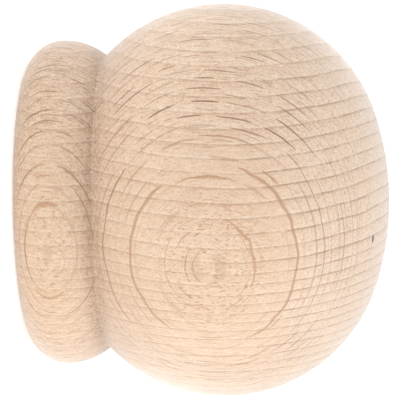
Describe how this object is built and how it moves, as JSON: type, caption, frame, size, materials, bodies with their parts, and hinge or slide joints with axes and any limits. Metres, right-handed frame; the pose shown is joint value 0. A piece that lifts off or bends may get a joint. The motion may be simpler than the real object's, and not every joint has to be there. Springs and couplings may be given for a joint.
{
  "type": "wooden curtain pole finial",
  "caption": "Turned beech ball finial with a rounded collar, socketed at the back for a 28 mm wooden pole and clamped by a grub screw in a brass insert.",
  "frame": {"origin": "centre of the flat back face, at the mouth of the pole socket", "axes": "+Z along the turning axis from the back face to the tip; +Y radially out through the grub screw in the collar"},
  "size_m": [0.05, 0.05, 0.0458],
  "materials": {
    "beech": "raw, fine-sanded, unvarnished",
    "brass": "machined",
    "screw_steel": "bright zinc"
  },
  "bodies": {
    "finial": {"turned_body": "beech", "threaded_insert": "brass"},
    "screw": {"grub_screw": "screw_steel"}
  },
  "joints": [
    {"name": "screw_travel", "type": "slide", "parent": "finial", "child": "screw", "axis": [0, -1, 0], "range_m": [-0.002, 0.0012]}
  ]
}
